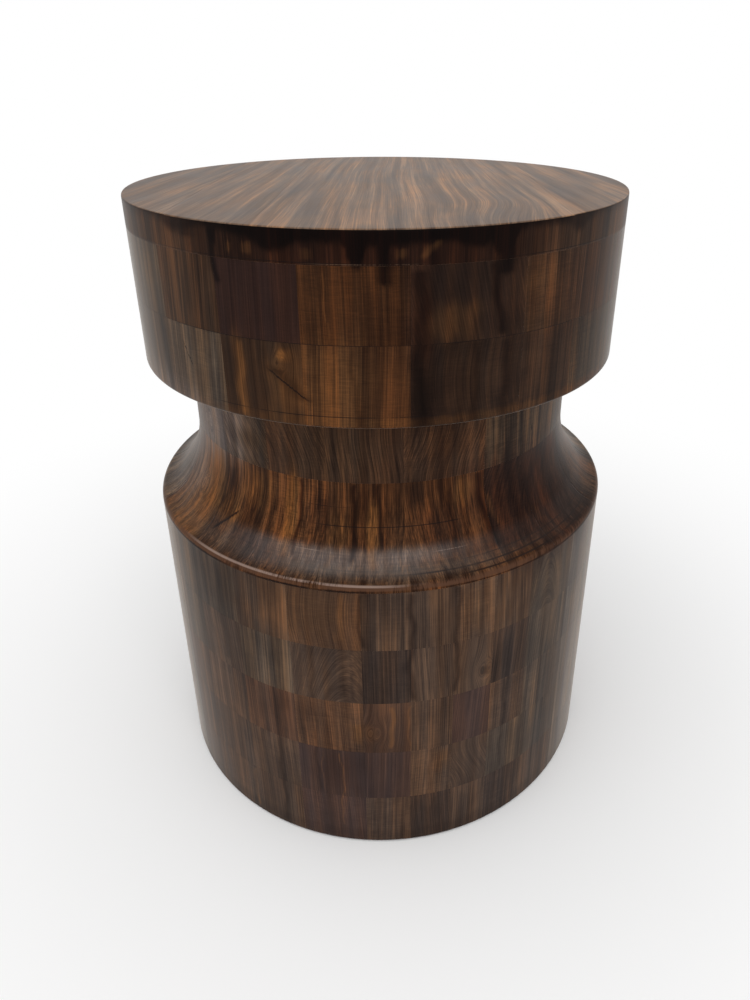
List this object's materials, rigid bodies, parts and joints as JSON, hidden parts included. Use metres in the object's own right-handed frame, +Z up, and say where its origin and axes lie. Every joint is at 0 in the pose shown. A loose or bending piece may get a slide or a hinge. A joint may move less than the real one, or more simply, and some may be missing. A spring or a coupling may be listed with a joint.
{
  "type": "pedestal end table",
  "caption": "Round pedestal end table: a drum top over a narrower coved neck and a taller drum foot, turned from stacked rings of dark stained wood blocks under a planked top",
  "frame": {"origin": "on the floor at the middle of the foot", "axes": "+Z up along the turned axis, -Y is the front, the top planks run along Y"},
  "size_m": [0.432, 0.432, 0.561],
  "materials": {
    "top_planks": "dark brown stain under satin lacquer, long grain",
    "stained_blocks": "dark brown stain under satin lacquer, upright grain",
    "base_board": "bare plywood",
    "zinc_screws": "zinc plated",
    "felt": "pressed brown felt"
  },
  "bodies": {
    "root": {"top_plank_1": "top_planks", "top_plank_2": "top_planks", "top_plank_3": "top_planks", "top_plank_4": "top_planks", "top_plank_5": "top_planks", "top_plank_6": "top_planks", "upper_drum_1_front_blocks": "stained_blocks", "upper_drum_1_back_blocks": "stained_blocks", "upper_drum_2_front_blocks": "stained_blocks", "upper_drum_2_back_blocks": "stained_blocks", "neck_front_blocks": "stained_blocks", "neck_back_blocks": "stained_blocks", "cove_front_blocks": "stained_blocks", "cove_back_blocks": "stained_blocks", "lower_drum_1_front_blocks": "stained_blocks", "lower_drum_1_back_blocks": "stained_blocks", "lower_drum_2_front_blocks": "stained_blocks", "lower_drum_2_back_blocks": "stained_blocks", "lower_drum_3_front_blocks": "stained_blocks", "lower_drum_3_back_blocks": "stained_blocks", "lower_drum_4_front_blocks": "stained_blocks", "lower_drum_4_back_blocks": "stained_blocks", "lower_drum_5_front_blocks": "stained_blocks", "lower_drum_5_back_blocks": "stained_blocks", "base_board": "base_board", "base_screws": "zinc_screws", "felt_pads": "felt"}
  },
  "joints": []
}
